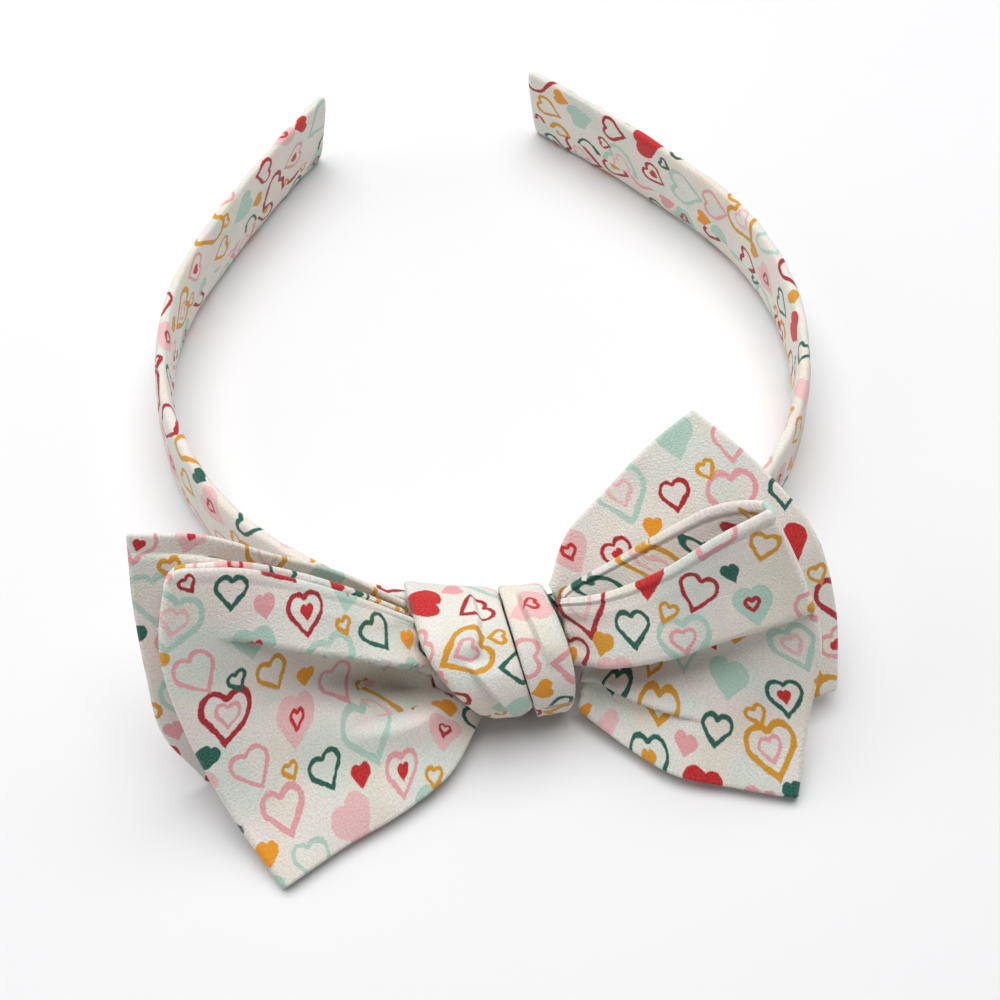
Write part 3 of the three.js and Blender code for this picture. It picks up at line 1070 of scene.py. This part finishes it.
RED = linear(178, 22, 40)
SCARLET = linear(206, 24, 34)
GREEN = linear(14, 96, 82)
MUSTARD = linear(222, 156, 32)
ORANGE = linear(243, 158, 22)
PINK = linear(238, 168, 172)
BLUSH = linear(243, 196, 196)
MINT = linear(186, 216, 202)


class HeartStyle(Enum):
    """How the hearts of one scatter are drawn."""

    OUTLINE = "outline"
    SOLID = "solid"


@dataclass(frozen=True)
class HeartScatter:
    """One scatter of hearts: its place in the repeat, heart height, line width and inks, in millimetres.

    Some hearts hold a smaller one, drawn in the second inks in its own style.
    """

    start: tuple[float, float]
    height: float
    style: HeartStyle
    line: float
    inks: tuple[Colour, ...]
    seed: float
    second: tuple[Colour, ...] = ()
    second_share: float = 0.0
    second_size: float = 0.45
    second_style: HeartStyle = HeartStyle.OUTLINE
    second_line: float = 0.8
    jitter: float = 1.3


def heart_group() -> bpy.types.NodeTree:
    """Node group that gives the signed distance to a heart one unit high, in units.

    With x folded to its size and the tip at the origin, the distance is to a lobe of radius sqrt(2)/4
    round (1/4, 3/4) where x + y > 1, and else to the nearer of the notch (0, 1) and the straight side
    x = y, signed by x - y.

    Returns:
        The group.
    """
    tree = bpy.data.node_groups.new("heart_distance", "ShaderNodeTree")
    tree.interface.new_socket("Vector", in_out="INPUT", socket_type="NodeSocketVector")
    tree.interface.new_socket("Distance", in_out="OUTPUT", socket_type="NodeSocketFloat")
    bench = Bench(tree)
    entry, leave = bench.add("NodeGroupInput"), bench.add("NodeGroupOutput")
    split = bench.add("ShaderNodeSeparateXYZ")
    bench.link(entry.outputs[0], split.inputs[0])
    x, y = bench.math("ABSOLUTE", split.outputs[0]), split.outputs[1]
    total = bench.math("ADD", x, y)
    flat = bench.add("ShaderNodeCombineXYZ")
    bench.link(x, flat.inputs[0])
    bench.link(y, flat.inputs[1])
    lobe = bench.vector("LENGTH", bench.vector("SUBTRACT", flat.outputs[0], (0.25, 0.75, 0.0)))
    lobe = bench.math("SUBTRACT", lobe, 0.35355)
    notch = bench.vector("LENGTH", bench.vector("SUBTRACT", flat.outputs[0], (0.0, 1.0, 0.0)))
    half = bench.math("MULTIPLY", bench.math("MAXIMUM", total, 0.0), 0.5)
    on_side = bench.add("ShaderNodeCombineXYZ")
    bench.link(half, on_side.inputs[0])
    bench.link(half, on_side.inputs[1])
    side = bench.vector("LENGTH", bench.vector("SUBTRACT", flat.outputs[0], on_side.outputs[0]))
    sign = bench.math("SIGN", bench.math("SUBTRACT", x, y))
    lower = bench.math("MULTIPLY", bench.math("MINIMUM", notch, side), sign)
    upper = bench.math("GREATER_THAN", total, 1.0)
    gained = bench.math("MULTIPLY", upper, bench.math("SUBTRACT", lobe, lower))
    bench.link(bench.math("ADD", lower, gained), leave.inputs[0])
    return tree


@dataclass(frozen=True)
class ScatterCrepe:
    """Matte cream crepe with a pebbled weave, faint colour washes and a scatter of drawn hearts."""

    name: str = "scatter_crepe"
    pitch: float = 19.0
    turn: float = 0.31
    ground: Colour = linear(241, 237, 228)
    washes: tuple[Colour, ...] = (
        linear(243, 225, 221), linear(240, 232, 212), linear(219, 231, 222))
    wash_share: float = 0.6
    # painted shade: the dark tint and the share of it that is painted into the crepe's pebble hollows
    pebble_shade_tint: Colour = linear(150, 140, 126)
    pebble_shade_share: float = 0.3
    hand: tuple[float, float] = (0.13, 0.7)
    shake: tuple[float, float] = (0.5, 0.3)
    lean: float = 0.9
    slimness: float = 1.2
    spread: tuple[float, float] = (0.88, 0.24)
    edge: float = 0.13
    bump: float = 0.8
    bump_depth: float = 0.0002
    roughness: float = 0.88
    sheen: float = 0.25
    scatters: tuple[HeartScatter, ...] = (
        HeartScatter((0.0, 0.0), 8.9, HeartStyle.OUTLINE, 1.1, (RED, MUSTARD, MINT, RED, PINK, MUSTARD),
                     3.0, (BLUSH, PINK, BLUSH), 0.45, 0.48, HeartStyle.OUTLINE, 0.7),
        HeartScatter((9.5, 9.5), 6.6, HeartStyle.SOLID, 0.0, (BLUSH, MINT, BLUSH, SCARLET, BLUSH, MINT),
                     17.0, (RED, RED, SCARLET), 0.5, 0.42, HeartStyle.OUTLINE, 0.7),
        HeartScatter((9.5, 0.0), 5.8, HeartStyle.OUTLINE, 0.85, (GREEN, GREEN, RED, GREEN, MUSTARD), 31.0),
        HeartScatter((0.0, 9.5), 6.6, HeartStyle.OUTLINE, 0.8, (PINK, GREEN, RED, MINT, PINK),
                     47.0, (SCARLET, SCARLET, MUSTARD), 0.5, 0.36, HeartStyle.SOLID, 0.0),
        HeartScatter((5.3, 14.3), 3.6, HeartStyle.SOLID, 0.0,
                     (MUSTARD, GREEN, MUSTARD, SCARLET, PINK, ORANGE), 59.0, jitter=1.0),
        HeartScatter((14.6, 4.6), 3.4, HeartStyle.OUTLINE, 0.75,
                     (MUSTARD, GREEN, MUSTARD, MUSTARD, RED), 73.0, jitter=1.0),
    )

    def make(self) -> bpy.types.Material:
        """Wires the material.

        Returns:
            The material.
        """
        material = bpy.data.materials.new(self.name)
        material.use_nodes = True
        tree = material.node_tree
        bench = Bench(tree)
        shader = tree.nodes["Principled BSDF"]
        uv = bench.add("ShaderNodeUVMap", uv_map=PRINT_UV).outputs[0]
        cloth = bench.turned(bench.vector("SCALE", uv, 1 / MILLIMETRE), self.turn)
        colour = self.wash(bench, cloth)
        group = heart_group()
        drawn = cloth
        for scale, reach in (self.hand, self.shake):
            sway = bench.noise(cloth, scale, 1.0).outputs["Color"]
            sway = bench.vector("SUBTRACT", sway, (0.5, 0.5, 0.5))
            drawn = bench.vector("ADD", drawn, bench.vector("SCALE", sway, reach))
        for scatter in self.scatters:
            colour = self.draw(bench, group, drawn, cloth, scatter, colour)
        colour = self.pebble(bench, cloth, colour)
        bench.link(colour, shader.inputs["Base Color"])
        shader.inputs["Roughness"].default_value = self.roughness
        shader.inputs["Sheen Weight"].default_value = self.sheen
        shader.inputs["Sheen Roughness"].default_value = 0.5
        shader.inputs["Specular IOR Level"].default_value = 0.25
        bench.link(self.weave(bench, cloth), shader.inputs["Normal"])
        return material

    def wash(self, bench: Bench, cloth: Socket) -> Socket:
        """Faint colour washes: soft noise blots of each wash laid over the ground.

        Args:
            bench: Node bench.
            cloth: Cloth coordinates in millimetres.

        Returns:
            The colour's socket.
        """
        colour: object = (*self.ground, 1.0)
        for number, wash in enumerate(self.washes):
            moved = bench.vector("ADD", cloth, (37.0 * number, 11.0 * number, 0.0))
            blot = bench.step(0.46, 0.66, bench.noise(moved, 0.085, 2.0).outputs[0])
            colour = bench.mix(bench.math("MULTIPLY", blot, self.wash_share), colour, (*wash, 1.0))
        return colour

    def pebble(self, bench: Bench, cloth: Socket, colour: Socket) -> Socket:
        """Darkens the hollows between the crepe's pebbles with painted shade, where less light reaches.

        Args:
            bench: Node bench.
            cloth: Cloth coordinates in millimetres.
            colour: Printed colour.

        Returns:
            The colour's socket.
        """
        hollow = bench.step(0.62, 0.38, bench.noise(cloth, 2.6, 2.0).outputs[0])
        # painted shade: the hollows of a noise are mixed toward a dark tint in place of real shading
        shaded = bench.mix(0.5, colour, (*self.pebble_shade_tint, 1.0))
        return bench.mix(bench.math("MULTIPLY", hollow, self.pebble_shade_share), colour, shaded)

    def draw(self, bench: Bench, group: bpy.types.NodeTree, drawn: Socket, cloth: Socket,
             scatter: HeartScatter, colour: Socket) -> Socket:
        """Draws one scatter of hearts over a colour.

        A cell's number comes from rounding the coordinates over the pitch; hashed numbers of the cell move,
        turn and size its heart and pick its ink.

        Args:
            bench: Node bench.
            group: Heart distance group.
            drawn: Cloth coordinates with the hand's wobble.
            cloth: Plain cloth coordinates.
            scatter: The scatter to draw.
            colour: Colour beneath.

        Returns:
            The colour's socket.
        """
        from_start = bench.vector("SUBTRACT", drawn, (*scatter.start, 0.0))
        plain = bench.vector("SUBTRACT", cloth, (*scatter.start, 0.0))
        shifted = bench.vector("ADD", bench.vector("SCALE", plain, 1 / self.pitch), (0.5, 0.5, 0.0))
        cell = bench.vector("FLOOR", shifted)
        first = self.dice(bench, cell, scatter.seed)
        again = self.dice(bench, cell, scatter.seed + 113.0)
        third = self.dice(bench, cell, scatter.seed + 271.0).outputs["Value"]
        move = bench.vector("SUBTRACT", first.outputs["Color"], (0.5, 0.5, 0.5))
        centre = bench.vector("SCALE", cell, self.pitch)
        centre = bench.vector("ADD", centre, bench.vector("SCALE", move, scatter.jitter))
        tilt = bench.math("MULTIPLY_ADD", again.outputs["Value"], self.lean, -self.lean / 2 - self.turn)
        local = bench.turned(bench.vector("SUBTRACT", from_start, centre), tilt)
        least, more = (share * scatter.height for share in self.spread)
        size = bench.math("MULTIPLY_ADD", first.outputs["Value"], more, least)
        narrow = bench.vector("MULTIPLY", local, (self.slimness, 1.0, 0.0))
        place = bench.vector("SCALE", narrow, bench.math("DIVIDE", 1.0, size))
        distance = self.heart(bench, group, place, size)
        ink = bench.choose(third, list(scatter.inks))
        dry = bench.math("MULTIPLY_ADD", bench.noise(cloth, 1.3, 2.0).outputs[0], 0.3, -0.15)
        pressure = bench.math("MULTIPLY_ADD", bench.noise(cloth, 0.3, 1.0).outputs[0], 0.9, 0.55)
        shown = self.inked(bench, distance, scatter.style, scatter.line, pressure, dry)
        colour = bench.mix(shown, colour, ink)
        if not scatter.second:
            return colour
        moved = bench.vector("ADD", place, (0.03, -0.04, 0.0))
        small = bench.vector("SCALE", moved, 1 / scatter.second_size)
        inner = self.heart(bench, group, small, bench.math("MULTIPLY", size, scatter.second_size))
        chosen = bench.math("LESS_THAN", again.outputs["Value"], scatter.second_share)
        second = bench.choose(first.outputs["Value"], list(scatter.second))
        shown = self.inked(bench, inner, scatter.second_style, scatter.second_line, pressure, dry)
        return bench.mix(bench.math("MULTIPLY", shown, chosen), colour, second)

    def dice(self, bench: Bench, cell: Socket, seed: float) -> bpy.types.Node:
        """Hashed numbers of a lattice cell.

        Args:
            bench: Node bench.
            cell: The cell's whole numbers.
            seed: Seed of the hash.

        Returns:
            The hash node.
        """
        node = bench.add("ShaderNodeTexWhiteNoise", noise_dimensions="3D")
        bench.link(bench.vector("ADD", cell, (0.5, 0.5, seed)), node.inputs["Vector"])
        return node

    def inked(self, bench: Bench, distance: Socket, style: HeartStyle, line: float, pressure: Socket,
              dry: Socket) -> Socket:
        """Share of ink at a signed distance: inside a band of the line's width, or inside the whole heart.

        Args:
            bench: Node bench.
            distance: Signed distance in millimetres.
            style: Whether the line or the whole heart is inked.
            line: Line width.
            pressure: Factor on the line width.
            dry: Unevenness of the ink's edge in millimetres.

        Returns:
            Share of ink.
        """
        if style is HeartStyle.OUTLINE:
            wide = bench.math("MULTIPLY", pressure, line / 2)
            distance = bench.math("ABSOLUTE", bench.math("ADD", distance, line / 2))
            distance = bench.math("SUBTRACT", distance, wide)
        return bench.step(self.edge, -self.edge, bench.math("ADD", distance, dry))

    def heart(self, bench: Bench, group: bpy.types.NodeTree, place: Socket, size: Socket) -> Socket:
        """Signed distance in millimetres to a heart centred on a place's origin.

        Args:
            bench: Node bench.
            group: Heart distance group.
            place: Place in heart heights.
            size: Heart height in millimetres.

        Returns:
            The distance's socket.
        """
        node = bench.add("ShaderNodeGroup")
        node.node_tree = group
        bench.link(bench.vector("ADD", place, (0.0, 0.56, 0.0)), node.inputs[0])
        return bench.math("MULTIPLY", node.outputs[0], size)

    def weave(self, bench: Bench, cloth: Socket) -> Socket:
        """Pebbled crepe relief: two noises of about half and a quarter of a millimetre.

        Args:
            bench: Node bench.
            cloth: Cloth coordinates in millimetres.

        Returns:
            The normal's socket.
        """
        coarse = bench.noise(cloth, 2.4, 2.0).outputs[0]
        fine = bench.noise(cloth, 5.0, 2.0).outputs[0]
        height = bench.math("MULTIPLY_ADD", fine, 0.6, coarse)
        bump = bench.add("ShaderNodeBump")
        bump.inputs["Strength"].default_value = self.bump
        bump.inputs["Distance"].default_value = self.bump_depth
        bench.link(height, bump.inputs["Height"])
        return bump.outputs[0]


# ---------------------------------------------------------------- studio


@dataclass(frozen=True)
class Studio:
    """Pale table, soft light and the camera."""

    elevation: float = 53.3
    swing: float = 10.2
    distance: float = 351.0
    aim: tuple[float, float] = (-1.8, 33.7)
    lens: float = 64.8
    table_reach: float = 3.0
    table_colour: Colour = (0.84, 0.84, 0.85)
    panels: tuple[tuple[str, float, float, tuple[float, float, float]], ...] = (
        ("overhead", 13.2, 1.1, (0.0, 0.22, 1.0)),
        ("left_panel", 2.4, 0.8, (-0.9, 0.15, 0.45)),
        ("right_panel", 1.4, 0.8, (0.9, 0.15, 0.45)),
    )
    surroundings: Colour = (0.97, 0.98, 1.0)
    surroundings_strength: float = 0.12

    def place_camera(self) -> None:
        """Sets the camera at a distance back from the aimed point on the table."""
        e, a = np.radians(self.elevation), np.radians(self.swing)
        ahead = Vector((np.sin(a) * np.cos(e), np.cos(a) * np.cos(e), -np.sin(e)))
        data = bpy.data.cameras.new("camera")
        data.lens, data.sensor_width = self.lens, 36.0
        data.clip_start, data.clip_end = 0.01, 20.0
        camera = bpy.data.objects.new("camera", data)
        bpy.context.scene.collection.objects.link(camera)
        aim = (Vector((*self.aim, 0.0)) + Vector(FRAME_SHIFT)) * MILLIMETRE
        camera.location = aim - ahead * self.distance * MILLIMETRE
        camera.rotation_mode = "QUATERNION"
        camera.rotation_quaternion = ahead.to_track_quat("-Z", "Y")
        bpy.context.scene.camera = camera

    def lay_table(self) -> None:
        """Makes the plain pale table top."""
        reach = self.table_reach
        mesh = bpy.data.meshes.new("table_top")
        corners = [(-reach, -reach, 0.0), (reach, -reach, 0.0), (reach, reach, 0.0), (-reach, reach, 0.0)]
        mesh.from_pydata(corners, [], [(0, 1, 2, 3)])
        table = bpy.data.objects.new("table_top", mesh)
        bpy.context.scene.collection.objects.link(table)
        material = bpy.data.materials.new("table_top")
        material.use_nodes = True
        shader = material.node_tree.nodes["Principled BSDF"]
        shader.inputs["Base Color"].default_value = (*self.table_colour, 1.0)
        shader.inputs["Roughness"].default_value = 0.8
        mesh.materials.append(material)

    def light(self, name: str, power: float, size: float, place: tuple[float, float, float]) -> None:
        """Adds a square soft light aimed at the bow.

        Args:
            name: Light name.
            power: Power in watts.
            size: Side in metres.
            place: Place in metres.
        """
        data = bpy.data.lights.new(name, "AREA")
        data.energy, data.size = power, size
        lamp = bpy.data.objects.new(name, data)
        bpy.context.scene.collection.objects.link(lamp)
        lamp.location = place
        aim = Vector((0.0, -0.04, 0.02)) - Vector(place)
        lamp.rotation_mode = "QUATERNION"
        lamp.rotation_quaternion = aim.to_track_quat("-Z", "Y")

    def build(self) -> None:
        """Sets camera, table, lights and the pale surroundings."""
        self.place_camera()
        self.lay_table()
        for name, power, size, place in self.panels:
            self.light(name, power, size, place)
        world = bpy.data.worlds.new("studio")
        bpy.context.scene.world = world
        world.use_nodes = True
        background = world.node_tree.nodes["Background"]
        background.inputs[0].default_value = (*self.surroundings, 1.0)
        background.inputs[1].default_value = self.surroundings_strength
        bpy.context.scene.view_settings.view_transform = "Standard"


# ---------------------------------------------------------------- putting it together


def frame_shift(band: CoveredBand) -> Array:
    """Shift from the band's plan to the frame, in millimetres, from the band solid's box.

    Args:
        band: The band.

    Returns:
        Shift in x, y and z.
    """
    low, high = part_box("covered_band")
    return np.array([(low.x + high.x) / 2 / MILLIMETRE, high.y / MILLIMETRE - band.tip_y(), 0.0])


FRAME_SHIFT = frame_shift(CoveredBand())


def settle(piece: bpy.types.Object, node: str, material: bpy.types.Material) -> None:
    """Gives a piece its finish and its place in the frame, in place of the solid it stands for.

    Args:
        piece: The piece.
        node: The solid's name.
        material: Its finish.
    """
    piece.data.materials.append(material)
    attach(piece, "root")
    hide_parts(node)
    LOG.info("%s: %d faces, stands for %s", piece.name, len(piece.data.polygons), node)


def main() -> None:
    """Builds the band, the knot, the loops and tails, and the studio, in that order."""
    logging.basicConfig(level=logging.INFO, format="%(name)s: %(message)s")
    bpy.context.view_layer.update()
    crepe = ScatterCrepe().make()
    band = CoveredBand()
    settle(band.build(), "covered_band", crepe)
    for wrap in (
        KnotWrap("knot_left_wrap", (-24.0, -20.4, -8.6), (-8.05, -6.75, -3.35), band, 5, creases=[
            Crease((66.0, 0.33), (-14.0, 0.66), 2.2, 0.4),
            Crease((132.0, 0.82), (62.0, 0.56), 2.0, -0.3),
        ], tuck=(0.9, 3.0)),
        KnotWrap("knot_right_wrap", (-7.85, -6.55, -3.15), (-1.2, 2.2, 1.3), band, 8, creases=[
            Crease((150.0, 0.20), (40.0, 0.50), 1.9, 0.4),
        ], proud=0.5, rounding=(0.7, 1.8)),
    ):
        settle(wrap.build(), wrap.name, crepe)
    for loop in (
        BowLoop("left_loop", LEFT_LOOP, Side.LEFT, 1.9, (0.0, 0.3, 0.1), [
            KnifePleat(0.47, 0.21, 0.2, 0.82, 4.6, 7.0, 1.1),
            KnifePleat(0.69, 0.62, 0.3, 0.5, -2.8, -3.4, 1.2),
        ], [Hollow(0.64, 0.42, 6.8, 0.95, 0.12, 0.11)],
            seed=21, piping=0.3, rise_power=0.7, print_start=(3.0, 5.0)),
        BowLoop("right_loop", RIGHT_LOOP, Side.RIGHT, 0.4, (2.0, 6.8, 0.0), [
            KnifePleat(0.53, 0.33, 0.2, 1.1, 4.2, 6.0, 1.1, 0.04),
            KnifePleat(0.73, 0.68, 0.1, 0.6, 2.4, 3.6, 1.2, 0.2),
        ], [Hollow(0.66, 0.48, 6.4, 1.1, 0.12, 0.15), Hollow(0.82, 0.80, 2.4, 0.55, 0.06, 0.11)],
            seed=22, piping=0.7, corner=0.015, print_start=(140.0, 64.0)),
    ):
        piece = loop.build()
        settle(piece, loop.name, crepe)
    for tail in (
        BowTail("left_tail", LEFT_TAIL, 31, [KnifePleat(0.24, 0.05, 0.4, 1.15, -1.0, 1.6, 1.0)],
                print_start=(260.0, 9.0)),
        BowTail("right_tail", RIGHT_TAIL, 32, print_start=(330.0, 71.0)),
    ):
        piece = tail.build()
        settle(piece, tail.name, crepe)
    Studio().build()


if __name__ == "__main__":
    main()
